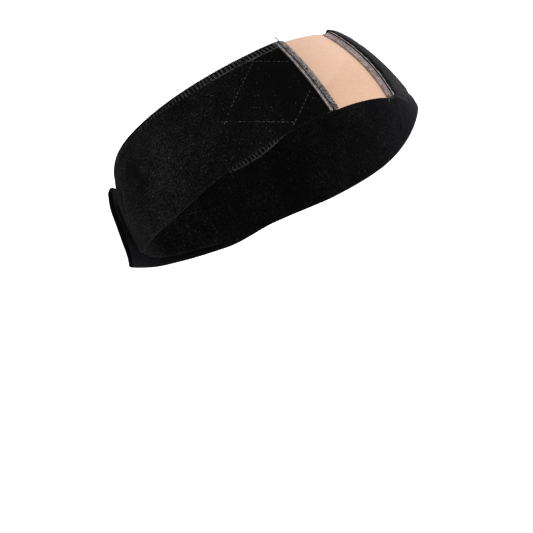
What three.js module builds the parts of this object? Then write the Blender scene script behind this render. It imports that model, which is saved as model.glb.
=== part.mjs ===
// A lace wig grip band in the form it has when worn. Two padded velvet wings are sewn to a sheer lace panel over
// the middle of the forehead, run down past the ears and close at the back of the head, where the left wing's
// free end overlaps the right wing's on a strip of hook and loop tape.
// Lengths are in millimetres. +Z is up, the forehead faces -Y and the wearer's right is -X. The origin is the
// middle of the head that the band goes round.
import * as THREE from "three";

// The head that the band is shaped to, as the widths of an ellipsoid
const headWidth = 160;
const headLength = 191.8;
const headHeight = 168.2;

// How the band lies on it: the plane of its centreline leans, high at the forehead and low at the nape
const bandTiltDegrees = 43.8;
const bandPlaneRise = 17.3; // from the middle of the head to that plane

// The velvet wings
const bandWidth = 57; // over the ears
const tailWidth = 45; // at the closure
const velvetThickness = 2.6;
const velvetCrown = 0.5; // how far the padding swells above the edges
const velvetEdgeRound = 1.1; // how far in from the turned edges the rounding starts

// The lace panel
const laceThickness = 1;

// The strips sewn over each seam: a narrow folded hem beside the velvet, then a serged allowance that slopes down
// from the hem to the lace
const hemWidth = 1.6;
const hemThickness = 2;
const sergingFrontWidth = 3;
const sergingRearWidth = 4.4;
const sergingThickness = 2.3; // beside the hem
const sergingThinness = 0.9; // on the lace
const seamEdgeRound = 0.4;

// The closure at the back
const underlapLength = 20; // of the right wing, past the middle of the back
const overlapLength = 52; // of the left wing, past the middle of the back
const freeEndSlant = 4; // how much further the free end reaches at its lower corner than at its upper one
const freeEndCorner = 4; // the rounding of its corners
const freeEndLift = 2.5; // how far its lower corner springs off the tape
const freeEndLiftLength = 24; // how far in from it the spring starts
const overlapFlatness = 1.8; // how far the stiff overlap's two edges stand off the head's curve
const stepLength = 30; // over which the left wing climbs onto the right one
const tapeThickness = 2.4; // both halves together
const tapeInset = 6; // from the free ends and edges of the wings in to the tape
const tapeEdgeRound = 0.6;

const sewnGap = 0.3; // left between pieces that are sewn or pressed together

// The two seams between velvet and lace: how far each is from the middle of the forehead along the band's front
// edge and along its rear edge. side is 1 on the wearer's right.
const seams = {
  right: { side: 1, front: 23.9, rear: 26.4 },
  left: { side: -1, front: 20.8, rear: 23.4 },
};

// The band's two edges, from the middle of the forehead (place 0) to the middle of the back (place 1). upper and
// lower are shares of half the local width, measured from the centreline. The local width goes from the band
// width, where tail is 0, to the tail width, where it is 1.
const edges = [
  { place: 0.0, tail: 0.0, upper: 1.1, lower: 0.92 },
  { place: 0.1, tail: 0.0, upper: 1.09, lower: 0.945 },
  { place: 0.18, tail: 0.0, upper: 1.05, lower: 0.99 },
  { place: 0.3, tail: 0.0, upper: 1.03, lower: 1.035 },
  { place: 0.47, tail: 0.0, upper: 1.035, lower: 1.12 },
  { place: 0.63, tail: 0.15, upper: 1.06, lower: 1.015 },
  { place: 0.76, tail: 0.85, upper: 1.03, lower: 0.98 },
  { place: 0.88, tail: 1.0, upper: 1.09, lower: 0.95 },
  { place: 1.0, tail: 1.0, upper: 1.15, lower: 0.88 },
];

// How finely the pieces are cut
const wingSteps = 60;
const seamSteps = 22;
const laceSteps = 12;
const tapeSteps = 14;
const wingFaceSteps = 8;
const seamFaceSteps = 2;
const roundSteps = 2;
const arcSteps = 1440;

const { lerp: mix, clamp, smoothstep } = THREE.MathUtils;

const headRadii = new THREE.Vector3(headWidth, headLength, headHeight).divideScalar(2);
const bandTilt = THREE.MathUtils.degToRad(bandTiltDegrees);
const planeUp = new THREE.Vector3(0, Math.sin(bandTilt), Math.cos(bandTilt));
const planeForward = new THREE.Vector3(0, -Math.cos(bandTilt), Math.sin(bandTilt));
const planeRight = new THREE.Vector3(-1, 0, 0);

// The point of the centreline at an angle that turns from the forehead to the wearer's right
function centrelinePoint(angle) {
  const start = planeUp.clone().multiplyScalar(bandPlaneRise);
  const ray = planeForward.clone().multiplyScalar(Math.cos(angle)).addScaledVector(planeRight, Math.sin(angle));
  const scaledStart = start.clone().divide(headRadii);
  const scaledRay = ray.clone().divide(headRadii);
  const a = scaledRay.dot(scaledRay);
  const b = scaledStart.dot(scaledRay);
  const c = scaledStart.dot(scaledStart) - 1;
  return start.addScaledVector(ray, (-b + Math.sqrt(b * b - a * c)) / a);
}

// The length of the centreline from the forehead to a fine row of angles, on past the middle of the back
const arcTable = [{ angle: 0, length: 0 }];
for (let i = 1; i <= arcSteps; i++) {
  const last = arcTable[i - 1];
  const angle = (i / arcSteps) * 1.25 * Math.PI;
  const chord = centrelinePoint(angle).distanceTo(centrelinePoint(last.angle));
  arcTable.push({ angle, length: last.length + chord });
}
const halfRound = arcTable.find((row) => row.angle >= Math.PI).length;

function angleAt(along) {
  const length = Math.abs(along);
  const i = Math.max(1, arcTable.findIndex((row) => row.length >= length));
  const [low, high] = [arcTable[i - 1], arcTable[i]];
  const share = (length - low.length) / (high.length - low.length);
  return Math.sign(along) * mix(low.angle, high.angle, share);
}

function headNormal(point) {
  return point.clone().divide(headRadii).divide(headRadii).normalize();
}

// A point over the head: along the centreline from the forehead (the wearer's right is positive), then across
// the band (towards the crown is positive), then lifted off the head
function onHead(along, across, lift) {
  const angle = angleAt(along);
  const centre = centrelinePoint(angle);
  const ahead = centrelinePoint(angle + 1e-3).sub(centrelinePoint(angle - 1e-3));
  const towardsCrown = ahead.cross(headNormal(centre)).normalize();
  const point = centre.addScaledVector(towardsCrown, across);
  point.divideScalar(point.clone().divide(headRadii).length());
  return point.addScaledVector(headNormal(point), lift);
}

// A column of a table at a place between its rows, on a smooth curve through them that is level at both ends
function smoothColumn(table, column, place) {
  const last = table.length - 1;
  const i = clamp(table.findLastIndex((row) => row.place <= place), 0, last - 1);
  const slope = (k) => {
    if (k === 0 || k === last) return 0;
    return (table[k + 1][column] - table[k - 1][column]) / (table[k + 1].place - table[k - 1].place);
  };
  const span = table[i + 1].place - table[i].place;
  const rise = table[i + 1][column] - table[i][column];
  const t = clamp((place - table[i].place) / span, 0, 1);
  const [a, b] = [slope(i) * span, slope(i + 1) * span];
  return table[i][column] + t * (a + t * (3 * rise - 2 * a - b + t * (a + b - 2 * rise)));
}

// The distances across from the centreline to the band's two edges. Past the middle of the back they are those of
// the other wing, which lies there too.
function edgesAt(along) {
  const place = 1 - Math.abs(1 - Math.abs(along) / halfRound);
  const half = mix(bandWidth, tailWidth, smoothColumn(edges, "tail", place)) / 2;
  return { upper: half * smoothColumn(edges, "upper", place), lower: half * smoothColumn(edges, "lower", place) };
}

// A point over the band, where share runs from -1 on its front and lower edge to 1 on its rear and upper edge
function onBand(along, share, inset, lift) {
  const { upper, lower } = edgesAt(along);
  return onHead(along, mix(-lower, upper, (share + 1) / 2) - inset, lift);
}

// How far a seam is from the middle of the forehead at a share of the way across the band
function seamAt(seam, share) {
  return mix(seam.front, seam.rear, (share + 1) / 2);
}

// The half-round of an edge as a share of its full thickness, at a distance in from it
function swell(distance, round) {
  return Math.max(0.3, Math.sqrt(1 - (1 - clamp(distance / round, 0, 1)) ** 2));
}

// A strip's cross-section: side runs from -1 to 1 across it, inset is in from the nearer side and height is a
// share of the thickness. It goes up the outer face and back down the inner one.
function clothSection(faceSteps, edgeRound) {
  const edge = (side) => (_, i) => {
    const turn = (i / roundSteps) * (Math.PI / 2);
    return { side, inset: edgeRound * (1 - Math.cos(turn)), height: 0.5 + 0.5 * Math.sin(turn) };
  };
  const face = (_, i) => ({ side: mix(-1, 1, (i + 1) / faceSteps), inset: 0, height: 1 });
  const outer = [
    ...Array.from({ length: roundSteps + 1 }, edge(-1)),
    ...Array.from({ length: faceSteps - 1 }, face),
    ...Array.from({ length: roundSteps + 1 }, edge(1)).reverse(),
  ];
  const inner = outer.slice(1, -1).reverse().map((point) => ({ ...point, height: 1 - point.height }));
  return [...outer, ...inner];
}

// The distances along a strip at which it is cut, closer together where its ends are rounded
function stations(length, steps, startRound, endRound) {
  const shares = [0, 0.15, 0.5, 1];
  const start = shares.map((share) => share * startRound);
  const end = shares.map((share) => length - share * endRound).reverse();
  const middle = Array.from({ length: steps - 1 }, (_, i) => mix(startRound, length - endRound, (i + 1) / steps));
  return [...start, ...middle, ...end];
}

// A closed strip of cloth with rounded edges. place makes a point from a distance along the strip, a side from -1
// to 1 across it, an inset from that side and a height through its thickness. corner rounds the far end's corners.
function clothStrip({ length, steps, faceSteps, edgeRound, corner = edgeRound, place }) {
  const section = clothSection(faceSteps, edgeRound);
  const rings = stations(length, steps, edgeRound, corner).map((distance) => {
    const thickness = swell(Math.min(distance, length - distance), edgeRound);
    const narrowing = corner * (1 - swell(length - distance, corner));
    return section.map(({ side, inset, height }) =>
      place(distance, side, Math.sign(side) * inset + side * narrowing, 0.5 + (height - 0.5) * thickness),
    );
  });
  return loft(rings);
}

// Joins rings of points into one closed solid, with a flat cap on the first and the last
function loft(rings) {
  const n = rings[0].length;
  const faces = [];
  const face = (a, b, c) => {
    if (a !== b && b !== c && c !== a) faces.push(a, b, c);
  };
  const quad = (a, b, c, d) => {
    face(a, b, c);
    face(a, c, d);
  };
  for (let i = 0; i + 1 < rings.length; i++) {
    for (let k = 0; k < n; k++) {
      const next = (k + 1) % n;
      quad(i * n + k, i * n + next, (i + 1) * n + next, (i + 1) * n + k);
    }
  }
  const last = (rings.length - 1) * n;
  for (let k = 0; k < n / 2; k++) {
    const [a, b, c, d] = [k, k + 1, n - k - 1, (n - k) % n];
    quad(b, a, d, c);
    quad(last + a, last + b, last + c, last + d);
  }
  const geometry = new THREE.BufferGeometry().setFromPoints(rings.flat());
  geometry.setIndex(faces);
  if (signedVolume(geometry) < 0) geometry.setIndex(faces.reverse());
  geometry.computeVertexNormals();
  return geometry;
}

function signedVolume(geometry) {
  const [a, b, c] = [new THREE.Vector3(), new THREE.Vector3(), new THREE.Vector3()];
  const { position } = geometry.attributes;
  let volume = 0;
  for (let i = 0; i < geometry.index.count; i += 3) {
    [a, b, c].forEach((point, k) => point.fromBufferAttribute(position, geometry.index.getX(i + k)));
    volume += a.dot(b.cross(c)) / 6;
  }
  return volume;
}

// A velvet wing, from its seam round to its free end. liftAt gives how far its inner face is off the head.
function wing(seam, pastBack, liftAt) {
  const length = halfRound + pastBack - seamAt(seam, 0);
  return clothStrip({
    length,
    steps: wingSteps,
    faceSteps: wingFaceSteps,
    edgeRound: velvetEdgeRound,
    corner: freeEndCorner,
    place: (distance, side, inset, height) => {
      const freeEnd = halfRound + pastBack - (freeEndSlant / 2) * side;
      const along = mix(seamAt(seam, side), freeEnd, distance / length);
      const crown = height > 0.5 ? velvetCrown * (1 - side ** 2) : 0;
      return onBand(seam.side * along, side, inset, liftAt(along, side) + velvetThickness * height + crown);
    },
  });
}

// The left wing climbs over the right wing and the tape, stays flat across them and springs off at its lower corner
function overlapLift(along, side) {
  const underlapEnd = halfRound - underlapLength - freeEndSlant;
  const climb = smoothstep(along, underlapEnd - stepLength, underlapEnd);
  const stack = velvetThickness + velvetCrown + tapeThickness + 2 * sewnGap;
  const fromFreeEnd = halfRound + overlapLength - along;
  const spring = clamp(1 - fromFreeEnd / freeEndLiftLength, 0, 1) ** 2;
  return climb * (stack + overlapFlatness * side ** 2) + (spring * freeEndLift * (1 - side)) / 2;
}

function tape() {
  const start = halfRound - underlapLength + tapeInset;
  const length = halfRound + overlapLength - tapeInset - start;
  return clothStrip({
    length,
    steps: tapeSteps,
    faceSteps: wingFaceSteps,
    edgeRound: tapeEdgeRound,
    place: (distance, side, inset, height) => {
      const lift = velvetThickness + velvetCrown + sewnGap + tapeThickness * height;
      return onBand(seams.left.side * (start + distance), side, side * tapeInset + inset, lift);
    },
  });
}

function lacePanel() {
  const { left, right } = seams;
  const length = seamAt(left, 0) + seamAt(right, 0) - 2 * sewnGap;
  return clothStrip({
    length,
    steps: laceSteps,
    faceSteps: wingFaceSteps,
    edgeRound: laceThickness / 2,
    place: (distance, side, inset, height) => {
      const along = mix(sewnGap - seamAt(left, side), seamAt(right, side) - sewnGap, distance / length);
      return onBand(along, side, inset, laceThickness * height);
    },
  });
}

// A strip sewn along a seam on top of the lace, from start towards the middle of the lace. It is thick beside the
// velvet and thin on its other side.
function seamStrip(seam, { start, frontWidth, rearWidth, thick, thin }) {
  const { upper, lower } = edgesAt(seamAt(seam, 0));
  const length = upper + lower;
  return clothStrip({
    length,
    steps: seamSteps,
    faceSteps: seamFaceSteps,
    edgeRound: seamEdgeRound,
    place: (distance, side, inset, height) => {
      const share = mix(-1, 1, distance / length);
      const width = mix(frontWidth, rearWidth, distance / length);
      const along = seamAt(seam, share) - start - (width * (1 - side)) / 2 - inset;
      const thickness = mix(thin, thick, (side + 1) / 2);
      return onBand(seam.side * along, share, 0, laceThickness + sewnGap + thickness * height);
    },
  });
}

function hem(seam) {
  return seamStrip(seam, {
    start: sewnGap,
    frontWidth: hemWidth,
    rearWidth: hemWidth,
    thick: hemThickness,
    thin: hemThickness,
  });
}

function serging(seam) {
  return seamStrip(seam, {
    start: 2 * sewnGap + hemWidth,
    frontWidth: sergingFrontWidth,
    rearWidth: sergingRearWidth,
    thick: sergingThickness,
    thin: sergingThinness,
  });
}

const looks = {
  velvet: { color: 0x0d0c0d, roughness: 0.95 },
  lace: { color: 0xd9b698, roughness: 0.8 },
  hemCloth: { color: 0x8d8486, roughness: 0.8 },
  sergedCloth: { color: 0x6e696b, roughness: 0.85 },
  tapeCloth: { color: 0x161517, roughness: 0.9 },
};

const pieces = [
  { name: "right_wing", look: "velvet", geometry: wing(seams.right, underlapLength, () => 0) },
  { name: "left_wing", look: "velvet", geometry: wing(seams.left, overlapLength, overlapLift) },
  { name: "lace_panel", look: "lace", geometry: lacePanel() },
  { name: "right_seam_hem", look: "hemCloth", geometry: hem(seams.right) },
  { name: "left_seam_hem", look: "hemCloth", geometry: hem(seams.left) },
  { name: "right_seam_serging", look: "sergedCloth", geometry: serging(seams.right) },
  { name: "left_seam_serging", look: "sergedCloth", geometry: serging(seams.left) },
  { name: "closure_tape", look: "tapeCloth", geometry: tape() },
];

const band = new THREE.Group();
band.name = "wig_grip_band";
for (const { name, look, geometry } of pieces) {
  const material = new THREE.MeshStandardMaterial({ name: look, metalness: 0, ...looks[look] });
  const mesh = new THREE.Mesh(geometry, material);
  mesh.name = name;
  band.add(mesh);
}

export default band;
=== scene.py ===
# A lace wig grip band in the form it has when worn: two quilted black velvet wings, a sheer lace panel in the
# middle of the front between two sewn seams, and a hook and loop closure at the back.
# Lengths are in metres. +Z is up, the front faces -Y and the right wing is on the -X side.
import math
from functools import partial

import bpy
import numpy as np
from mathutils import Matrix, Vector
from mathutils.bvhtree import BVHTree


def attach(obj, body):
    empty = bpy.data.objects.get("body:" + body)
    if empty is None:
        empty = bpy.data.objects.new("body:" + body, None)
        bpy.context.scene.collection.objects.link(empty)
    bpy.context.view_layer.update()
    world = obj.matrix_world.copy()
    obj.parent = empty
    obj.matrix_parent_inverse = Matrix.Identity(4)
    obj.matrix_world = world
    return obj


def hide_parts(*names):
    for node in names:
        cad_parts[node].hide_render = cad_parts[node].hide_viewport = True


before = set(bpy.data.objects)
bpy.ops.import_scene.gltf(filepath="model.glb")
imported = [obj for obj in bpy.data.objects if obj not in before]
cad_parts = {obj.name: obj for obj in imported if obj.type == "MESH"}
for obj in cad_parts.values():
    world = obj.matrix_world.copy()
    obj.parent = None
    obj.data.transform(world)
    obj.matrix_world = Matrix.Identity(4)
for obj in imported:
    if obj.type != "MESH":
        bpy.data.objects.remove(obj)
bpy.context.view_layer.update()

MM = 0.001

# ---------------------------------------------------------------- camera and floor
camera_place = Vector((-0.93202, -0.96312, 0.40464))
camera_aim = Vector((-0.01158, -0.0105, -0.05165))
camera_roll = math.radians(2.476)
camera_lens = 167.2
floor_height = -0.32

# ---------------------------------------------------------------- the band's measures
# The worn band lies on an ellipsoid round the origin, the form. Its centreline is in a plane that leans back.
form_radii = np.array([160.0, 191.8, 168.2]) / 2 * MM
band_tilt = math.radians(43.8)
band_plane_rise = 17.3 * MM
band_width = 57 * MM
tail_width = 45 * MM
velvet_thickness = 2.6 * MM
velvet_crown = 0.5 * MM
velvet_edge_round = 1.1 * MM
lace_thickness = 1.0 * MM
seam_edge_round = 0.4 * MM
seam_rear_short = 1.3 * MM  # how far the strips stop short of the lace's rear edge
underlap_length = 20 * MM
overlap_length = 52 * MM
free_end_slant = 4 * MM
free_end_corner = 4 * MM
free_end_sharp_corner = 2.4 * MM  # the left wing's lower one
free_end_lift = 2.5 * MM
free_end_lift_length = 24 * MM
overlap_flatness = 1.8 * MM
step_length = 30 * MM
tape_thickness = 2.4 * MM
tape_inset = 6 * MM
tape_edge_round = 0.6 * MM
sewn_gap = 0.3 * MM

right_seam = {"side": 1, "front": 23.9 * MM, "rear": 26.4 * MM, "bow": 0.9 * MM}
left_seam = {"side": -1, "front": 20.8 * MM, "rear": 23.4 * MM, "bow": 0.0}

# The two edges from the middle of the front (place 0) to the middle of the back (place 1): how far the width
# has narrowed to the tail's, and each edge's share of half that width
edge_place = np.array([0.0, 0.1, 0.18, 0.3, 0.47, 0.63, 0.76, 0.88, 1.0])
edge_tail = np.array([0.0, 0.0, 0.0, 0.0, 0.0, 0.15, 0.85, 1.0, 1.0])
edge_upper = np.array([1.1, 1.09, 1.05, 1.03, 1.035, 1.06, 1.03, 1.09, 1.15])
edge_lower = np.array([0.92, 0.945, 0.99, 1.035, 1.12, 1.015, 0.98, 0.95, 0.88])

# The quilting: two families of straight stitch lines laid over the flat cloth, across = slope * along + start
quilt_rise = {"slope": 0.63, "start": -6.3 * MM, "step": 45 * MM}
quilt_fall = {"slope": -0.93, "start": 64 * MM, "step": 49 * MM}
quilt_pitch = 2.5 * MM
groove_depth = 0.4 * MM
groove_width = 0.8 * MM
puff_height = 0.12 * MM
puff_width = 5 * MM

# The padding's simulation, made large so that the solver's forces suit it
pad_scale = 50
pad_pressure = 2.2
pad_slack = 0.012
pad_frames = 20
pad_limit = 0.85 * MM

# How far the quilted padding is drawn down again on the whole
right_settle = 0.45 * MM
left_settle = 0.7 * MM

# The overlocked upper edge
overlock_width = 6.2 * MM
overlock_pitch = 2.6 * MM

# The seams' sewing, and the radii of the threads
serging_pitch = 1.25 * MM
loop_pitch = 2.3 * MM
groove_twist = 1.9 * MM
quilting_thread = 0.12 * MM
ladder_thread = 0.17 * MM
rim_thread = 0.3 * MM
closure_thread = 0.16 * MM
serging_thread = 0.19 * MM
groove_thread = 0.31 * MM
loose_thread = 0.26 * MM

plane_up = np.array([0, math.sin(band_tilt), math.cos(band_tilt)])
plane_forward = np.array([0, -math.cos(band_tilt), math.sin(band_tilt)])
plane_right = np.array([-1.0, 0, 0])


# ---------------------------------------------------------------- laying cloth on the form
def mix(a, b, share):
    return a + (b - a) * share


def unit(vectors):
    return vectors / np.linalg.norm(vectors, axis=-1, keepdims=True)


def smoothstep(value, low, high):
    t = np.clip((value - low) / (high - low), 0, 1)
    return t * t * (3 - 2 * t)


def centreline(angle):
    angle = np.asarray(angle, float)[..., None]
    start = plane_up * band_plane_rise
    ray = plane_forward * np.cos(angle) + plane_right * np.sin(angle)
    a = ((ray / form_radii) ** 2).sum(-1, keepdims=True)
    b = (ray * start / form_radii**2).sum(-1, keepdims=True)
    c = ((start / form_radii) ** 2).sum() - 1
    return start + ray * (-b + np.sqrt(b * b - a * c)) / a


arc_angles = np.linspace(0, 1.25 * math.pi, 1441)
arc_steps = np.linalg.norm(np.diff(centreline(arc_angles), axis=0), axis=1)
arc_lengths = np.concatenate([[0], np.cumsum(arc_steps)])
half_round = float(np.interp(math.pi, arc_angles, arc_lengths))


def form_normal(points):
    return unit(points / form_radii**2)


def on_form(along, across, lift):
    """Points over the form: along the centreline (positive on the right), across it, then lifted off."""
    along, across, lift = np.broadcast_arrays(along, across, lift)
    angle = np.sign(along) * np.interp(np.abs(along), arc_lengths, arc_angles)
    centre = centreline(angle)
    ahead = centreline(angle + 1e-3) - centreline(angle - 1e-3)
    upwards = unit(np.cross(ahead, form_normal(centre)))
    points = centre + upwards * across[..., None]
    points = points / np.linalg.norm(points / form_radii, axis=-1, keepdims=True)
    return points + form_normal(points) * lift[..., None]


def smooth_column(column, place):
    slopes = np.zeros(len(column))
    slopes[1:-1] = (column[2:] - column[:-2]) / (edge_place[2:] - edge_place[:-2])
    i = np.clip(np.searchsorted(edge_place, place, side="right") - 1, 0, len(column) - 2)
    span = edge_place[i + 1] - edge_place[i]
    rise = column[i + 1] - column[i]
    t = np.clip((place - edge_place[i]) / span, 0, 1)
    a, b = slopes[i] * span, slopes[i + 1] * span
    return column[i] + t * (a + t * (3 * rise - 2 * a - b + t * (a + b - 2 * rise)))


def edges_at(along):
    """How far the upper and the lower edge are from the centreline."""
    place = 1 - np.abs(1 - np.abs(along) / half_round)
    half = mix(band_width, tail_width, smooth_column(edge_tail, place)) / 2
    return half * smooth_column(edge_upper, place), half * smooth_column(edge_lower, place)


def across_at(along, share):
    upper, lower = edges_at(along)
    return mix(-lower, upper, (share + 1) / 2)


def seam_at(seam, share):
    return mix(seam["front"], seam["rear"], (share + 1) / 2) + seam["bow"] * (1 - share**2)


def overlap_lift(along, share):
    """The left wing climbs over the right wing and the tape, and springs off at its lower corner."""
    underlap_end = half_round - underlap_length - free_end_slant
    climb = smoothstep(along, underlap_end - step_length, underlap_end)
    stack = velvet_thickness + velvet_crown + tape_thickness + 2 * sewn_gap
    from_free_end = half_round + overlap_length - along
    spring = np.clip(1 - from_free_end / free_end_lift_length, 0, 1) ** 2
    return climb * (stack + overlap_flatness * share**2) + spring * free_end_lift * (1 - share) / 2


# ---------------------------------------------------------------- strips of cloth
def swell(distance, round_):
    return np.maximum(0.3, np.sqrt(1 - (1 - np.clip(distance / round_, 0, 1)) ** 2))


def cloth_section(sides, edge_round, turns=3):
    """A strip's cross-section as (side, inset, height) rows: up the outer face, back down the inner one."""
    turn = np.linspace(0, math.pi / 2, turns + 1)
    corner = np.c_[np.zeros(turns + 1), edge_round * (1 - np.cos(turn)), 0.5 + 0.5 * np.sin(turn)]
    face = np.c_[sides, np.zeros(len(sides)), np.ones(len(sides))]
    outer = np.vstack([corner + [-1, 0, 0], face, corner[::-1] + [1, 0, 0]])
    inner = outer[1:-1][::-1] * [1, 1, -1] + [0, 0, 1]
    return np.vstack([outer, inner])


def cloth_strip(name, distances, sides, edge_round, corner, place, turns=3):
    """A closed strip of cloth with rounded edges. place gives (along, across, lift) from a distance along the
    strip, a side, an inset from that side and a height through the thickness. corner is the radius of the last
    two corners, or the lower and the upper one's. The UV map is the flat cloth."""
    section = cloth_section(sides, edge_round, turns)
    length = distances[-1]
    distance = distances[:, None]
    side, inset, height = section.T
    thickness = swell(np.minimum(distance, length - distance), edge_round)
    corner = np.where(side > 0, np.max(corner), np.min(corner))
    narrowing = corner * (1 - swell(length - distance, corner))
    along, across, lift = np.broadcast_arrays(
        *place(distance, side, np.sign(side) * inset + side * narrowing, 0.5 + (height - 0.5) * thickness)
    )
    rings, n = len(distances), len(section)
    ring, k = np.meshgrid(np.arange(rings - 1), np.arange(n), indexing="ij")
    ring, k = ring.ravel(), k.ravel()
    after = (k + 1) % n
    walls = np.c_[ring * n + k, ring * n + after, (ring + 1) * n + after, (ring + 1) * n + k]
    half = np.arange(1, n // 2)
    caps = np.array([[i, i + 1, n - i - 1, n - i] for i in half[:-1]])
    faces = walls.tolist() + caps[:, ::-1].tolist() + (caps + (rings - 1) * n).tolist()
    last = (rings - 1) * n
    faces += [[n - 1, 1, 0], [last, last + 1, last + n - 1]]
    middle = n // 2
    faces += [[middle + 1, middle, middle - 1], [last + middle - 1, last + middle, last + middle + 1]]
    return new_mesh(name, on_form(along, across, lift).reshape(-1, 3), faces, along.ravel(), across.ravel())


def new_mesh(name, points, faces, along, across, closed=True):
    mesh = bpy.data.meshes.new(name)
    mesh.from_pydata(points.tolist(), [], faces)
    corners = read(mesh.loops, "vertex_index", 1, int)[:, 0]
    flat_cloth = mesh.uv_layers.new(name="flat_cloth")
    flat_cloth.data.foreach_set("uv", np.c_[along[corners], across[corners]].ravel())
    mesh.shade_smooth()
    if closed and volume(mesh) < 0:
        mesh.flip_normals()
    piece = bpy.data.objects.new(name, mesh)
    bpy.context.collection.objects.link(piece)
    return piece


def read(items, key, width, kind=float):
    """A property of all the items, as rows of a width."""
    values = np.zeros(len(items) * width, kind)
    items.foreach_get(key, values)
    return values.reshape(-1, width)


def mesh_points(mesh):
    return read(mesh.vertices, "co", 3)


def volume(mesh):
    mesh.calc_loop_triangles()
    corners = read(mesh.loop_triangles, "vertices", 3, int)
    a, b, c = mesh_points(mesh)[corners].transpose(1, 0, 2)
    return float((a * np.cross(b, c)).sum())


def set_points(mesh, points):
    mesh.vertices.foreach_set("co", points.ravel())
    mesh.update()


def choose(piece):
    bpy.ops.object.select_all(action="DESELECT")
    piece.select_set(True)
    bpy.context.view_layer.objects.active = piece


def apply_modifier(piece, kind, **settings):
    choose(piece)
    modifier = piece.modifiers.new(kind.title(), kind)
    for key, value in settings.items():
        setattr(modifier, key, value)
    bpy.ops.object.modifier_apply(modifier=modifier.name)


def spaced(start, end, step):
    """Evenly spaced stops from start to end, about a step apart."""
    return np.linspace(start, end, max(2, round((end - start) / step) + 1))


# ---------------------------------------------------------------- sewing threads
def sew(name, lines, radius):
    """Lays threads of one radius along lines of points."""
    curve = bpy.data.curves.new(name, "CURVE")
    curve.dimensions = "3D"
    curve.bevel_depth = radius
    curve.bevel_resolution = 1
    curve.use_fill_caps = True
    for line in lines:
        spline = curve.splines.new("POLY")
        spline.points.add(len(line) - 1)
        spline.points.foreach_set("co", np.c_[line, np.ones(len(line))].ravel())
    piece = bpy.data.objects.new(name, curve)
    bpy.context.collection.objects.link(piece)
    choose(piece)
    bpy.ops.object.convert(target="MESH")
    piece = bpy.context.view_layer.objects.active
    piece.data.shade_smooth()
    return piece


def surface(piece):
    return BVHTree.FromObject(piece, bpy.context.evaluated_depsgraph_get())


def press_on(tree, along, across, lift, height, inwards=True):
    """Points pressed onto a finished surface along the form's normal, a height above it."""
    start = on_form(along, across, lift)
    out = form_normal(start)
    down = -out if inwards else out
    points = []
    for point, way, above in zip(start, down, np.broadcast_to(height, len(start))):
        hit = tree.ray_cast(Vector(point - way * 8 * MM), Vector(way), 20 * MM)[0]
        base = np.array(hit) if hit else point
        points.append(base - way * above)
    return np.array(points)


# ---------------------------------------------------------------- finishes
def put(tree, kind, inputs=(), **settings):
    """Adds one shader node. Each input is a value or another node's output."""
    made = tree.nodes.new(kind)
    for key, value in settings.items():
        setattr(made, key, value)
    for key, value in dict(inputs).items():
        if isinstance(value, bpy.types.NodeSocket):
            tree.links.new(value, made.inputs[key])
        else:
            made.inputs[key].default_value = value
    return made


def math_node(tree, operation, a, b=0.0, c=0.0, clamp=False):
    return put(tree, "ShaderNodeMath", {0: a, 1: b, 2: c}, operation=operation, use_clamp=clamp).outputs[0]


def map_range(tree, value, low, high, to_low, to_high):
    limits = {"Value": value, "From Min": low, "From Max": high, "To Min": to_low, "To Max": to_high}
    return put(tree, "ShaderNodeMapRange", limits).outputs[0]


def blend_colours(tree, share, a, b):
    return put(tree, "ShaderNodeMix", {0: share, 6: a, 7: b}, data_type="RGBA").outputs[2]


def scaled(tree, colour, scale):
    return put(tree, "ShaderNodeVectorMath", {0: colour, "Scale": scale}, operation="SCALE").outputs[0]


def noise(tree, position, scale, detail=2, roughness=0.5):
    settings = {"Vector": position, "Scale": scale, "Detail": detail, "Roughness": roughness}
    return put(tree, "ShaderNodeTexNoise", settings).outputs["Fac"]


def turned_cloth(tree, place, degrees):
    """The place on the flat cloth, turned."""
    turn = {"Vector": place["UV"], "Rotation": (0, 0, math.radians(degrees))}
    return put(tree, "ShaderNodeMapping", turn).outputs[0]


socket_kinds = {"place": "NodeSocketVector", "colour": "NodeSocketColor", "number": "NodeSocketFloat"}


def new_group(name, inputs, outputs):
    group = bpy.data.node_groups.new(name, "ShaderNodeTree")
    for way, sockets in (("INPUT", inputs), ("OUTPUT", outputs)):
        for label, kind in sockets.items():
            group.interface.new_socket(label, in_out=way, socket_type=socket_kinds[kind])
    start, end = group.nodes.new("NodeGroupInput"), group.nodes.new("NodeGroupOutput")
    return group, start.outputs, end.inputs, partial(math_node, group)


def use_group(tree, group, inputs):
    return put(tree, "ShaderNodeGroup", inputs, node_tree=group).outputs


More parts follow.
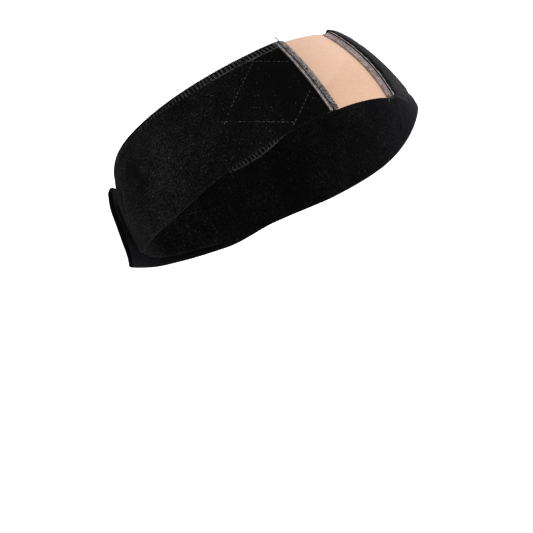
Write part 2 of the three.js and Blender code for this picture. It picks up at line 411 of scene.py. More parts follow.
def build_pile_group():
    """Short velvet pile: a fine uneven nap with single fibres that catch the light."""
    group, given, result, calc = new_group(
        "velvet_pile",
        {"Position": "place", "Deep": "colour", "Tip": "colour", "Fibre": "colour", "Fibres": "number"},
        {"Color": "colour", "Height": "number"},
    )
    nap = noise(group, given["Position"], 1250, 2, 0.55)
    brushed = noise(group, given["Position"], 34, 4, 0.6)
    cells = put(group, "ShaderNodeTexVoronoi", {"Vector": given["Position"], "Scale": 1800}).outputs
    chances = put(group, "ShaderNodeSeparateColor", {"Color": cells["Color"]}).outputs
    patchy = map_range(group, brushed, 0.36, 0.66, 0.15, 1.0)
    lucky = calc("GREATER_THAN", chances[0], calc("SUBTRACT", 1.0, calc("MULTIPLY", given["Fibres"], patchy)))
    near = map_range(group, cells["Distance"], 0.1, 0.55, 1.0, 0.0)
    fibre = calc("MULTIPLY", calc("MULTIPLY", lucky, near), calc("POWER", chances[1], 2.2))
    spread = map_range(group, nap, 0.42, 0.62, 0.0, 1.0)
    brush = map_range(group, brushed, 0.34, 0.66, 0.22, 1.1)
    colour = blend_colours(group, calc("MULTIPLY", spread, brush), given["Deep"], given["Tip"])
    colour = blend_colours(group, fibre, colour, given["Fibre"])
    group.links.new(colour, result["Color"])
    group.links.new(calc("ADD", nap, calc("MULTIPLY", fibre, 0.4)), result["Height"])
    return group


def build_weave_group():
    """Threads crossing over and under each other on the flat cloth."""
    group, given, result, calc = new_group(
        "woven_threads",
        {"Cloth": "place", "Pitch along": "number", "Pitch across": "number", "Thread": "number"},
        {"Mask": "number", "Height": "number"},
    )
    cloth = put(group, "ShaderNodeSeparateXYZ", {"Vector": given["Cloth"]}).outputs
    u = calc("DIVIDE", cloth[0], given["Pitch along"])
    v = calc("DIVIDE", cloth[1], given["Pitch across"])

    def thread(value):
        from_middle = calc("ABSOLUTE", calc("SUBTRACT", calc("FRACT", value), 0.5))
        share = calc("DIVIDE", calc("MULTIPLY", from_middle, 2.0), given["Thread"])
        return calc("SUBTRACT", 1.0, calc("POWER", share, 2.0), clamp=True)

    warp, weft = thread(u), thread(v)
    parity = calc("ADD", calc("FLOOR", u), calc("FLOOR", v))
    over = calc("MODULO", calc("ABSOLUTE", parity), 2.0)
    warp_high = calc("MULTIPLY", warp, calc("MULTIPLY_ADD", over, 0.5, 0.5))
    weft_high = calc("MULTIPLY", weft, calc("MULTIPLY_ADD", over, -0.5, 1.0))
    group.links.new(calc("MAXIMUM", warp_high, weft_high), result["Height"])
    group.links.new(calc("GREATER_THAN", calc("MAXIMUM", warp, weft), 0.02), result["Mask"])
    return group


def build_lint_group():
    """Uneven dye and stray fibres, at the scale of yarn."""
    group, given, result, calc = new_group(
        "uneven_yarn",
        {"Position": "place", "Fine": "number", "Broad": "number", "Light": "colour", "Dark": "colour"},
        {"Color": "colour", "Height": "number"},
    )
    fine = noise(group, given["Position"], given["Fine"], 2, 0.6)
    broad = noise(group, given["Position"], given["Broad"])
    both = calc("ADD", calc("MULTIPLY", fine, 0.7), calc("MULTIPLY", broad, 0.3))
    share = map_range(group, both, 0.4, 0.6, 0.0, 1.0)
    group.links.new(blend_colours(group, share, given["Dark"], given["Light"]), result["Color"])
    group.links.new(fine, result["Height"])
    return group


velvet_pile = build_pile_group()
woven_threads = build_weave_group()
uneven_yarn = build_lint_group()


def new_material(name):
    material = bpy.data.materials.new(name)
    material.use_nodes = True
    tree = material.node_tree
    tree.nodes.clear()
    shader = tree.nodes.new("ShaderNodeBsdfPrincipled")
    output = tree.nodes.new("ShaderNodeOutputMaterial")
    tree.links.new(shader.outputs[0], output.inputs[0])
    place = tree.nodes.new("ShaderNodeTexCoord")
    return material, tree, shader.inputs, place.outputs


def raise_by(tree, shader, height, distance, strength=1.0):
    bump = put(tree, "ShaderNodeBump", {"Height": height, "Distance": distance, "Strength": strength})
    tree.links.new(bump.outputs[0], shader["Normal"])


def opaque(colour, times=1):
    return [times * part for part in colour] + [1]


def velvet_finish(name, deep, tip, fibre, fibres, sheen, back_tip_times):
    """Velvet smooth by the seam, its pile tip changed towards the back by back_tip_times; a light front tip is painted
    sheen, and past 13 cm a darker tip is painted shade.
    """
    material, tree, shader, place = new_material(name)
    along = put(tree, "ShaderNodeSeparateXYZ", {"Vector": place["UV"]}).outputs[0]
    from_middle = math_node(tree, "ABSOLUTE", along)
    # 0 by the seam and 1 towards the back; on the left wing it fades out the painted sheen of the front tip
    front_to_back = map_range(tree, from_middle, 0.04, 0.13, 0.0, 1.0)
    # Painted shade: the pile tip is darkened past 13 cm from the middle of the front
    painted_rear_shade = map_range(tree, from_middle, 0.13, 0.18, 1.0, 0.45)
    tip_at_back = scaled(tree, [back_tip_times * part for part in tip], painted_rear_shade)
    pile = use_group(
        tree,
        velvet_pile,
        {
            "Position": place["Object"],
            "Deep": blend_colours(tree, front_to_back, opaque(deep), (0.0012, 0.0012, 0.0013, 1)),
            "Tip": blend_colours(tree, front_to_back, opaque(tip, 0.6), tip_at_back),
            "Fibre": opaque(fibre),
            "Fibres": map_range(tree, front_to_back, 0.0, 1.0, 0.12 * fibres, fibres),
        },
    )
    tree.links.new(pile["Color"], shader["Base Color"])
    shader["Roughness"].default_value = 0.92
    shader["Specular IOR Level"].default_value = 0.008
    shader["Sheen Weight"].default_value = sheen
    shader["Sheen Roughness"].default_value = 0.42
    shader["Sheen Tint"].default_value = (0.86, 0.89, 1.0, 1)
    raise_by(tree, shader, pile["Height"], 0.3 * MM, 0.8)
    return material


def lace_finish():
    material, tree, shader, place = new_material("flesh_lace")
    net = use_group(
        tree,
        woven_threads,
        {
            "Cloth": turned_cloth(tree, place, 45),
            "Pitch along": 0.85 * MM,
            "Pitch across": 0.85 * MM,
            "Thread": 0.42,
        },
    )
    rows = use_group(
        tree,
        woven_threads,
        {"Cloth": place["UV"], "Pitch along": 500 * MM, "Pitch across": 1.9 * MM, "Thread": 0.16},
    )
    yarn = use_group(
        tree,
        uneven_yarn,
        {
            "Position": place["Object"],
            "Fine": 900,
            "Broad": 60,
            "Light": (0.519, 0.326, 0.223, 1),
            "Dark": (0.48, 0.295, 0.197, 1),
        },
    )
    tree.links.new(yarn["Color"], shader["Base Color"])
    threads = math_node(tree, "MAXIMUM", net["Mask"], rows["Mask"])
    tree.links.new(map_range(tree, threads, 0.0, 1.0, 0.94, 0.99), shader["Alpha"])
    shader["Roughness"].default_value = 0.75
    shader["Specular IOR Level"].default_value = 0.2
    shader["Sheen Weight"].default_value = 0.08
    raise_by(tree, shader, net["Height"], 0.2 * MM, 0.5)
    return material


def yarn_finish(name, light, dark, fine, broad, bump, sheen=0.1, gloss=0.08, weave=None):
    """Yarn between two colours, uneven at a fine and a broad scale. bump is in millimetres."""
    material, tree, shader, place = new_material(name)
    shades = {"Fine": fine, "Broad": broad, "Light": opaque(light), "Dark": opaque(dark)}
    yarn = use_group(tree, uneven_yarn, {"Position": place["Object"], **shades})
    colour, height = yarn["Color"], yarn["Height"]
    if weave:
        pitch = {"Pitch along": weave["pitch"], "Pitch across": weave["pitch"]}
        cloth = turned_cloth(tree, place, weave["turn"])
        woven = use_group(tree, woven_threads, {"Cloth": cloth, "Thread": 0.95, **pitch})
        shade = math_node(tree, "MULTIPLY_ADD", woven["Height"], weave["shade"], 1 - weave["shade"])
        colour = scaled(tree, colour, shade)
        height = math_node(tree, "ADD", woven["Height"], math_node(tree, "MULTIPLY", height, 0.3))
    tree.links.new(colour, shader["Base Color"])
    shader["Roughness"].default_value = 0.85
    shader["Specular IOR Level"].default_value = gloss
    shader["Sheen Weight"].default_value = sheen
    raise_by(tree, shader, height, bump * MM)
    return material


right_velvet = velvet_finish(
    "black_velvet",
    deep=(0.0016, 0.0016, 0.0017),
    tip=(0.0042, 0.0042, 0.0044),
    fibre=(0.08, 0.08, 0.083),
    fibres=0.26,
    sheen=0.003,
    back_tip_times=3.8,
)
# The left wing's velvet has a far lighter pile tip at the front than the right wing's: a painted sheen of the light
# grazing it, lower towards the back.
velvet_with_painted_sheen = velvet_finish(
    "black_velvet_painted_sheen",
    deep=(0.001, 0.001, 0.0012),
    tip=(0.036, 0.036, 0.039),
    fibre=(0.06, 0.06, 0.063),
    fibres=0.09,
    sheen=0.05,
    back_tip_times=0.3,
)
lace_net = lace_finish()
hem_weave = {"pitch": 0.6 * MM, "turn": 45, "shade": 0.5}
tape_weave = {"pitch": 1.2 * MM, "turn": 0, "shade": 0.4}
hem_cloth = yarn_finish("grey_hem", (0.28, 0.245, 0.24), (0.045, 0.038, 0.038), 1000, 420, 0.2, weave=hem_weave)
black_tape = yarn_finish("black_tape", (0.009, 0.009, 0.0095), (0.003, 0.003, 0.003), 1500, 200, 0.3, weave=tape_weave)
dark_serging = yarn_finish("dark_serging_ground", (0.06, 0.053, 0.053), (0.01, 0.009, 0.009), 900, 300, 0.3)
dark_serging_yarn = yarn_finish("dark_serging_yarn", (0.28, 0.245, 0.245), (0.02, 0.017, 0.018), 800, 300, 0.1)
pale_serging = yarn_finish("pale_serging_ground", (0.20, 0.157, 0.148), (0.10, 0.078, 0.074), 800, 300, 0.2)
pale_serging_yarn = yarn_finish("pale_serging_yarn", (0.37, 0.292, 0.277), (0.13, 0.102, 0.097), 700, 250, 0.1)
# Pale yarn for painted highlights: the threads along the fold edges and the left seam's hem, pale where their edges
# catch the light
highlight_yarn = yarn_finish("pale_yarn_painted_highlight", (0.40, 0.36, 0.34), (0.16, 0.14, 0.13), 600, 200, 0.1)
groove_yarn = yarn_finish("groove_yarn", (0.045, 0.04, 0.04), (0.002, 0.002, 0.002), 560, 560, 0.1, sheen=0)
quilting_yarn = yarn_finish("quilting_yarn", (0.10, 0.10, 0.105), (0.003, 0.003, 0.003), 420, 130, 0.1, sheen=0)
overlock_yarn = yarn_finish("overlock_yarn", (0.048, 0.048, 0.05), (0.008, 0.008, 0.009), 700, 150, 0.1, sheen=0.02)
black_yarn = yarn_finish("black_yarn", (0.005, 0.005, 0.0053), (0.002, 0.002, 0.002), 1200, 200, 0.1, sheen=0)


def wear(piece, material):
    piece.data.materials.clear()
    piece.data.materials.append(material)


# ---------------------------------------------------------------- the velvet wings
def quilt_distance(along, across, family):
    """How far a place on the flat cloth is from the nearest stitch line of a family."""
    off = across - family["slope"] * along - family["start"]
    off = off - family["step"] * np.round(off / family["step"])
    return np.abs(off) / math.hypot(1, family["slope"])


def nearest_stitches(along, across):
    return np.minimum(quilt_distance(along, across, quilt_rise), quilt_distance(along, across, quilt_fall))


def quilting(along, across):
    """The quilted surface's height over the plain cloth: stitched grooves with puffs between them."""
    nearest = nearest_stitches(along, across)
    groove = groove_depth * np.exp(-nearest / groove_width)
    puff = puff_height * (1 - np.exp(-((nearest / puff_width) ** 2)))
    return puff - groove


def wing_place(wing):
    """The strip's place function: along, across and lift of a point of a wing."""
    seam = wing["seam"]
    length = half_round + wing["past_back"] - seam_at(seam, 0)

    def place(distance, side, inset, height):
        free_end = half_round + wing["past_back"] - free_end_slant / 2 * side
        along = mix(seam_at(seam, side), free_end, distance / length)
        crown = np.where(height > 0.5, velvet_crown * (1 - side**2), 0)
        lift = wing["lift"](along, side) + velvet_thickness * height + crown
        return seam["side"] * along, across_at(along, side) - inset, lift

    return length, place


def free_padding(wing, along, across):
    """1 where the padding is free to puff, and 0 at the sewn edges."""
    upper, lower = edges_at(along)
    from_seam = along - mix(wing["seam"]["front"], wing["seam"]["rear"], 0.5)
    from_end = half_round + wing["past_back"] - free_end_slant / 2 - along
    return (
        smoothstep(upper - across, overlock_width - 1 * MM, overlock_width + 6 * MM)
        * smoothstep(across + lower, 1.2 * MM, 7 * MM)
        * smoothstep(from_seam, wing["plain"], wing["plain"] * 4 + 4 * MM)
        * smoothstep(from_end, 1.5 * MM, 5 * MM)
    )


def bell(value, middle, width):
    return np.exp(-(((value - middle) / width) ** 2))


def left_stands_off(along, across):
    """The left wing stands off the form by the seam, at both edges behind it and where it laps over."""
    share = np.clip(2 * (across + edges_at(along)[1]) / sum(edges_at(along)) - 1, -1, 1)
    from_seam = along - seam_at(left_seam, share)
    by_seam = 1.0 * bell(from_seam, 0, 14 * MM) - 0.5 * bell(from_seam, 27 * MM, 11 * MM) * bell(share, 0.05, 0.5)
    lower = 1.2 * smoothstep(-share, 0.35, 0.9) * bell(from_seam, 33 * MM, 13 * MM)
    upper = 0.45 * bell(share, 0.75, 0.25) * bell(from_seam, 19 * MM, 8 * MM)
    lap = 1.15 * bell(share, 0.5, 0.4) + 1.5 * bell(share, -1, 0.2)
    return (by_seam + lower + upper + lap * smoothstep(along, half_round - 25 * MM, half_round)) * MM


def edge_folds(along, across):
    """The turned lower edge: a soft ridge, then the crease where it is caught down."""
    lower = edges_at(along)[1]
    inset = across + lower
    ridge = 0.06 * MM * bell(inset, 1.3 * MM, 0.7 * MM)
    crease = 0.2 * MM * bell(inset, 2.5 * MM, 0.45 * MM)
    return ridge - crease


def overlock_ripple(wing, along, across):
    """The upper edge bulges a little between the overlock's threads and is drawn in along its inner line."""
    upper = edges_at(along)[0]
    inset = upper - across
    within = smoothstep(inset, 0, 1.5 * MM) * (1 - smoothstep(inset, overlock_width - 1 * MM, overlock_width))
    ripple = 0.12 * MM * np.cos(2 * math.pi * (along - wing["seam"]["rear"] - 1.5 * MM) / overlock_pitch)
    line = 0.12 * MM * bell(inset, overlock_width, 0.8 * MM)
    return -within * (ripple + 0.1 * MM) - line


def pad(piece, along, across, free):
    """How each point moves when air pressure swells the padding between its stitch lines and sewn edges."""
    nearest = nearest_stitches(along, across)
    held = np.round(1 - smoothstep(nearest, 0.7 * MM, 1.6 * MM) * smoothstep(free, 0.0, 0.6), 1)
    trial = bpy.data.objects.new("padding_trial", piece.data.copy())
    bpy.context.collection.objects.link(trial)
    start = mesh_points(trial.data)
    set_points(trial.data, start * pad_scale)
    pins = trial.vertex_groups.new(name="held")
    for weight in np.unique(held[held > 0]):
        pins.add(np.flatnonzero(held == weight).tolist(), float(weight), "REPLACE")
    cloth = trial.modifiers.new("Padding", "CLOTH")
    cloth.settings.vertex_group_mass = "held"
    cloth.settings.mass = 0.3
    cloth.settings.tension_stiffness = cloth.settings.compression_stiffness = 15
    cloth.settings.shear_stiffness = 5
    cloth.settings.bending_stiffness = 0.5
    cloth.settings.use_pressure = True
    cloth.settings.uniform_pressure_force = pad_pressure
    cloth.settings.shrink_min = -pad_slack
    cloth.settings.quality = 4
    cloth.settings.effector_weights.gravity = 0
    cloth.collision_settings.use_collision = False
    cloth.point_cache.frame_start, cloth.point_cache.frame_end = 1, pad_frames
    for frame_number in range(1, pad_frames + 1):
        bpy.context.scene.frame_set(frame_number)
    swollen = trial.evaluated_get(bpy.context.evaluated_depsgraph_get()).to_mesh()
    moved = mesh_points(swollen) / pad_scale - start
    mesh = trial.data
    bpy.data.objects.remove(trial)
    bpy.data.meshes.remove(mesh)
    bpy.context.scene.frame_set(1)
    reach = np.linalg.norm(moved, axis=-1, keepdims=True)
    return moved * np.minimum(1, pad_limit / np.maximum(reach, 1e-9))


def velvet_wing(name, wing):
    length, place = wing_place(wing)
    distances = np.concatenate(
        [[0, 0.3 * MM], spaced(1.1 * MM, length - 4 * MM, 1.4 * MM), length - np.array([2.6, 1.4, 0.6, 0.15, 0]) * MM]
    )
    half = band_width / 2
    edge_sides = 1 - np.array([1.5, 1.9, 2.3, 2.7, 3.2, 3.9, 4.8, 5.8, 6.6]) * MM / half
    middle = spaced(-edge_sides[-1] + 1.1 * MM / half, edge_sides[-1] - 1.1 * MM / half, 1.35 * MM / half)
    sides = np.concatenate([-edge_sides, middle, edge_sides[::-1]])
    piece = cloth_strip(name, distances, sides, velvet_edge_round, wing["corners"], place)
    quilt(piece, wing)
    apply_modifier(piece, "SUBSURF", levels=1, render_levels=1)
    piece.data.shade_smooth()
    return piece


def flat_places(mesh):
    """Each vertex's place on the flat cloth, from the UV map."""
    flat = np.zeros((len(mesh.vertices), 2))
    flat[read(mesh.loops, "vertex_index", 1, int)[:, 0]] = read(mesh.uv_layers["flat_cloth"].data, "uv", 2)
    return flat.T


def quilt(piece, wing):
    """Presses the grooves, puffs and folds into a wing."""
    along, across = flat_places(piece.data)
    along = along * wing["seam"]["side"]
    points, normals = mesh_points(piece.data), read(piece.data.vertices, "normal", 3)
    facing = (normals * form_normal(points)).sum(-1)
    outer, inner = smoothstep(facing, 0.5, 0.95), smoothstep(-facing, 0.5, 0.95)
    free = free_padding(wing, along, across)
    worn = 1 - 0.6 * wing["worn"] * smoothstep(along, 95 * MM, 140 * MM)
    height = (quilting(along, across) * worn - wing["settle"]) * free
    trim = edge_folds(along, across) + overlock_ripple(wing, along, across)
    trim = trim * (1 - 0.85 * smoothstep(along, 85 * MM, 130 * MM))
    swollen = pad(piece, along, across, free) * (worn * free * (outer + 0.3 * inner))[:, None]
    stand_off = form_normal(points) * wing["stands_off"](along, across)[:, None]
    points += normals * (outer * (height + trim) + inner * (0.35 * height + 0.5 * trim))[:, None] + swollen + stand_off
    set_points(piece.data, points)


# past_back is how far the free end reaches past the middle of the back, plain how far the velvet by the seam is
# unquilted, and worn is 1 where handling has flattened the quilting and the overlock towards the back
right_wing_cut = {
    "seam": right_seam,
    "past_back": underlap_length,
    "lift": lambda along, share: 0 * along,
    "stands_off": lambda along, across: 0 * along,
    "settle": right_settle,
    "worn": 1,
    "plain": 0.5 * MM,
    "corners": free_end_corner,
}
left_wing_cut = {
    "seam": left_seam,
    "past_back": overlap_length,
    "lift": overlap_lift,
    "stands_off": left_stands_off,
    "settle": left_settle,
    "worn": 0,
    "plain": 8 * MM,
    "corners": (free_end_sharp_corner, 1.5 * free_end_corner),
}
right_wing = velvet_wing("padded_right_wing", right_wing_cut)
left_wing = velvet_wing("padded_left_wing", left_wing_cut)

for piece, node, velvet in ((right_wing, "right_wing", right_velvet), (left_wing, "left_wing", velvet_with_painted_sheen)):
    wear(piece, velvet)
    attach(piece, "root")
    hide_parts(node)


# ---------------------------------------------------------------- stitching on the wings
def quilt_lines(wing, family):
    """The stitches of a family of quilting lines, as (along, across) from start to end of each stitch."""
    slope, start, step = family["slope"], family["start"], family["step"]
    first = seam_at(wing["seam"], 0) + 2 * MM
    last = half_round + wing["past_back"] - 4 * MM
    run = quilt_pitch / math.hypot(1, slope)
    stitches = []
    for k in range(-12, 13):
        along = np.arange(first, last, run)
        across = slope * along + start + step * k
        upper, lower = edges_at(along)
        inside = (across > -lower + 3 * MM) & (across < upper - 3 * MM)
        stitches += [(a, c) for a, c in zip(along[inside], across[inside])]
    return stitches, slope, run


def quilting_stitches(name, wing, piece):
    tree = surface(piece)
    side = wing["seam"]["side"]
    share = np.array([0.0, 0.14, 0.5, 0.86, 1.0])
    bow = np.array([-0.25, 0.0, 0.05, 0.0, -0.25]) * MM
    rng = np.random.default_rng(21)
    lines = []
    for family in (quilt_rise, quilt_fall):
        stitches, slope, run = quilt_lines(wing, family)
        for along, across in stitches:
            sunk = rng.uniform(-0.04, 0.13) + 0.24 * smoothstep(along, 71 * MM, 84 * MM)
            if family is quilt_fall:
                sunk += 0.06 * smoothstep(along, 38 * MM, 46 * MM)
            height = bow + (0.06 - sunk) * MM
            a = along + run * 0.68 * share
            c = across + slope * run * 0.68 * share
            lift = wing["lift"](a, 2 * (c + edges_at(a)[1]) / sum(edges_at(a)) - 1) + velvet_thickness / 2
            lines.append(press_on(tree, side * a, c, lift, height))
            lines.append(press_on(tree, side * a, c, lift, height, inwards=False))
    return sew(name, lines, quilting_thread)


def overlock_path(wing, distance, reach, slant, clearance):
    """A thread over the upper edge: from reach in from it on the outer face, round it and down the inner face."""
    place = wing_place(wing)[1]
    insets = np.linspace(reach, velvet_edge_round, 5)
    turn = np.linspace(math.pi / 2, -math.pi / 2, 7)
    rise = clearance / velvet_thickness
    inset = np.concatenate([insets, velvet_edge_round * (1 - np.cos(turn)) - clearance * np.cos(turn), insets[::-1]])
    height = np.concatenate([np.full(5, 1 + rise), 0.5 + (0.5 + rise) * np.sin(turn), np.full(5, -rise)])
    share = np.abs(np.linspace(-1, 1, len(inset)))
    return stood_off(wing, *place(distance - slant * share, np.full(len(inset), 1.0), inset, height))


def stood_off(wing, along, across, lift):
    """Points over the form, standing off it as the wing does."""
    return on_form(along, across, lift + wing["stands_off"](np.abs(along), across))


def overlock_rim(name, wing):
    """The black threads that bind the upper edge, close together."""
    length = wing_place(wing)[0]
    rng = np.random.default_rng(13)
    stops = np.arange(-2.2 * MM, length - 4.5 * MM, overlock_pitch / 2.6)
    lines = [
        overlock_path(wing, stop + rng.uniform(-0.1, 0.1) * MM, rng.uniform(1.4, 1.9) * MM, 0.3 * MM, 0.02 * MM)
        for stop in stops
    ]
    return sew(name, lines, rim_thread)


def overlock_ladder(name, wing):
    """The looping inner line of the overlock and the slanted threads from it towards the rim, on both faces."""
    length, place = wing_place(wing)
    rng = np.random.default_rng(11)
    lines = []
    fine = np.arange(0.6 * MM, length - 5 * MM, overlock_pitch / 9)
    phase = 2 * math.pi * fine / overlock_pitch
    for height, sunk in ((1.03, 1), (-0.03, -1)):
        for inner in (0.0, 0.3 * MM, 0.6 * MM):
            sway = 0.24 * MM * np.sin(phase + inner / MM) + 0.12 * MM * np.sin(2.3 * phase + 1)
            buried = 0.12 * wing["worn"] * smoothstep(fine, 40 * MM, 85 * MM)
            dip = height - sunk * (0.035 * (1 + np.sin(phase + 2)) - 0.015 + buried)
            inset = overlock_width - 0.2 * MM + inner + sway
            lines.append(stood_off(wing, *place(fine + 0.3 * MM * np.cos(phase), 1 + 0 * fine, inset, dip)))
        for stop in np.arange(0.9 * MM, length - 5 * MM, overlock_pitch):
            stop = stop + rng.uniform(-0.28, 0.28) * MM
            slant = rng.uniform(0.6, 1.3) * MM
            buried = rng.uniform(0.02, 0.09) * wing["worn"] * smoothstep(stop, 50 * MM, 90 * MM)
            for beside in (0.0, 0.34 * MM, 0.68 * MM):
                share = np.linspace(0, 1, 6)
                inset = mix(overlock_width - 0.2 * MM, rng.uniform(1.4, 2.0) * MM, share)
                bow = height + sunk * (0.06 * np.sin(math.pi * share) - 0.05 - buried)
                lines.append(stood_off(wing, *place(stop + beside + slant * share, 1 + 0 * share, inset, bow)))
    return sew(name, lines, ladder_thread)


def closure_stitches(name, wing, piece):
    """The box of stitches that holds the tape to the lapping end, seen on its outer face."""
    tree = surface(piece)
    first, last = half_round - 14 * MM, half_round + wing["past_back"] - 4.5 * MM
    corners = [(first, -0.72), (last + 1.2 * MM, -0.72), (last - 1.2 * MM, 0.72), (first, 0.72), (first, -0.72)]
    lines = []
    for (start, low), (end, high) in zip(corners, corners[1:]):
        span = math.hypot(end - start, (high - low) * tail_width / 2)
        count = round(span / quilt_pitch)
        for k in range(count):
            share = (k + np.array([0.0, 0.1, 0.4, 0.7, 0.8])) / count
            along, side = mix(start, end, share), mix(low, high, share)
            across = across_at(along, side)
            height = np.array([-0.25, 0.04, 0.1, 0.04, -0.25]) * MM
            lift = wing["lift"](along, side) + velvet_thickness / 2
            lines.append(press_on(tree, -along, across, lift, height))
    return sew(name, lines, closure_thread)


stitching = [
    (quilting_stitches("right_quilting", right_wing_cut, right_wing), quilting_yarn),
    (quilting_stitches("left_quilting", left_wing_cut, left_wing), quilting_yarn),
    (overlock_ladder("right_overlock", right_wing_cut), overlock_yarn),
    (overlock_ladder("left_overlock", left_wing_cut), overlock_yarn),
    (overlock_rim("right_overlock_rim", right_wing_cut), black_yarn),
    (overlock_rim("left_overlock_rim", left_wing_cut), black_yarn),
    (closure_stitches("closure_box_stitches", left_wing_cut, left_wing), overlock_yarn),
]
for piece, material in stitching:
    wear(piece, material)
    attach(piece, "root")


# ---------------------------------------------------------------- the lace panel
def lace_sheet():
    across_shares, along_shares = np.linspace(-1, 1, 81), np.linspace(0, 1, 61)
    side, share = np.meshgrid(across_shares, along_shares, indexing="ij")
    along = mix(sewn_gap - seam_at(left_seam, side), seam_at(right_seam, side) - sewn_gap, share)
    across = across_at(np.abs(along), side)
    loose = smoothstep(np.minimum(share, 1 - share), 0.08, 0.3)
    ripple = np.sin(along / (9 * MM) + across / (14 * MM)) + 0.6 * np.sin(across / (5.3 * MM) - along / (21 * MM))
    lift = 0.5 * lace_thickness + 0.12 * MM * loose * ripple
    rng = np.random.default_rng(3)
    frayed = rng.uniform(-0.12, 0.12, along.shape) * MM * (np.abs(side) > 0.999)
    points = on_form(along, across + frayed, lift)
    n = len(along_shares)
    faces = [
        [i * n + k, i * n + k + 1, (i + 1) * n + k + 1, (i + 1) * n + k]
        for i in range(len(across_shares) - 1)
        for k in range(n - 1)
    ]
    piece = new_mesh("sheer_lace", points.reshape(-1, 3), faces, along.ravel(), across.ravel(), closed=False)
    middle = piece.data.polygons[len(faces) // 2]
    if middle.normal.dot(middle.center) < 0:
        piece.data.flip_normals()
    return piece


lace = lace_sheet()
wear(lace, lace_net)
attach(lace, "root")
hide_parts("lace_panel")


# ---------------------------------------------------------------- the seams
def seam_place(seam, start, front_width, rear_width, thick, thin, base):
    """The place function of a strip along a seam: thick beside the velvet, thin on its other side."""
    upper, lower = edges_at(seam_at(seam, 0))
    length = float(upper + lower) - seam_rear_short

    def place(distance, side, inset, height):
        share = 2 * distance / (length + seam_rear_short) - 1
        width = mix(front_width, rear_width, distance / length)
        along = seam_at(seam, share) - start - width * (1 - side) / 2 - inset
        thickness = mix(thin, thick, (side + 1) / 2)
        return seam["side"] * along, across_at(along, share), base + thickness * height

    return length, place


# The strips' measures in millimetres. The right seam's serged strip stands up, with a broad hem. The left seam's
# lies flat and its hem is narrow.
allowance_cut = {"start": -1.5, "front_width": 5.6, "rear_width": 7.0, "thick": 0.6, "thin": 0.5, "base": 0.6}
right_cut = {
    "hem": {"start": 0.3, "front_width": 1.4, "rear_width": 1.4, "thick": 2.0, "thin": 2.0, "base": 1.3},
    "serging": {"start": 2.2, "front_width": 3.0, "rear_width": 4.4, "thick": 2.0, "thin": 0.6, "base": 1.3},
    "allowance": allowance_cut,
}
left_cut = {
    "hem": {"start": 1.3, "front_width": 0.9, "rear_width": 0.9, "thick": 1.3, "thin": 1.3, "base": 1.8},
    "serging": {"start": 2.5, "front_width": 2.7, "rear_width": 4.1, "thick": 1.5, "thin": 0.4, "base": 0.75},
    "allowance": allowance_cut,
}


def in_metres(cut):
    return {key: value * MM for key, value in cut.items()}


def thread_on(place, distance, side, rise):
    """Points along a strip's outer face, a rise above it."""
    along, across, lift = place(distance, side, 0 * distance, np.ones(len(distance)))
    return on_form(along, across, lift + rise)


def folded_hem(name, seam, cut):
    length, place = seam_place(seam, **in_metres(cut))

    def rounded(distance, side, inset, height):
        along, across, lift = place(distance, side, inset, height)
        bulge = 0.25 * MM * (1 - side**2) - 0.3 * MM * side**2
        wave = 0.08 * MM * np.sin(distance / (1.9 * MM)) + 0.06 * MM * np.sin(distance / (0.83 * MM) + 1)
        return along, across, lift + np.where(height > 0.5, bulge + wave, 0)

    stops, sides = spaced(0, length, 0.45 * MM), np.linspace(-0.7, 0.7, 7)
    piece = cloth_strip(name, stops, sides, seam_edge_round, seam_edge_round, rounded)
    apply_modifier(piece, "SUBSURF", levels=1, render_levels=1)
    return piece


def serged_strip(name, seam, cut):
    length, place = seam_place(seam, **in_metres(cut))

    def bumpy(distance, side, inset, height):
        along, across, lift = place(distance, side, inset, height)
        loops = 0.25 * MM * np.cos(2 * math.pi * distance / loop_pitch) * np.clip(-side, 0, 1)
        wave = 0.08 * MM * np.sin(distance / (0.7 * MM) + side * 2)
        return along - seam["side"] * loops, across, lift + np.where(height > 0.5, wave, 0)

    stops, sides = spaced(0, length, 0.4 * MM), np.linspace(-0.8, 0.8, 9)
    piece = cloth_strip(name, stops, sides, seam_edge_round, seam_edge_round, bumpy)
    apply_modifier(piece, "SUBSURF", levels=1, render_levels=1)
    return piece


def seam_allowance(name, seam, cut):
    length, place = seam_place(seam, **in_metres(cut))

    def longer(distance, side, inset, height):
        stretched = mix(-0.2 * MM, length + 1.2 * MM, distance / length)
        return place(stretched, side, inset, height)

    return cloth_strip(name, spaced(0, length, 1 * MM), np.linspace(-0.6, 0.6, 5), 0.25 * MM, 0.25 * MM, longer)


def serging_threads(name, seam, cut, seed, sunk):
    """The overlock on the serged strip: threads to and fro across it, looped round its outer edge."""
    length, place = seam_place(seam, **in_metres(cut))
    rng = np.random.default_rng(seed)
    path = []
    for k, stop in enumerate(np.arange(0.5 * MM, length - 0.6 * MM, serging_pitch)):
        out = 0.4 if k % 2 else 0.2
        for step, side, rise in (
            (0.0, 0.95, 0.12),
            (0.12, 0.5, 0.16),
            (0.25, 0.0, 0.14),
            (0.38, -0.6, 0.13),
            (0.47, -1.0, 0.05),
            (0.55, -1.0 - out / 2.0, -0.3),
            (0.64, -1.0, 0.05),
            (0.75, -0.5, 0.2),
            (0.88, 0.2, 0.24),
        ):
            jitter = rng.uniform(-0.05, 0.05, 3)
            path.append((stop + serging_pitch * (step + jitter[0]), side + jitter[1], (rise + jitter[2]) * MM))
    distance, side, rise = np.array(path).T
    lines = [thread_on(place, distance, side, rise - sunk)]
    for row, wobble in ((0.86, 0.03), (0.2, 0.08), (-0.5, 0.1)):
        fine = spaced(0.3 * MM, length - 0.3 * MM, 0.3 * MM)
        sway = row + wobble * np.sin(2 * math.pi * fine / loop_pitch)
        rise = 0.1 * MM + 0.08 * MM * np.sin(2 * math.pi * fine / serging_pitch)
        lines.append(thread_on(place, fine, sway, rise - sunk))
    return sew(name, lines, serging_thread)


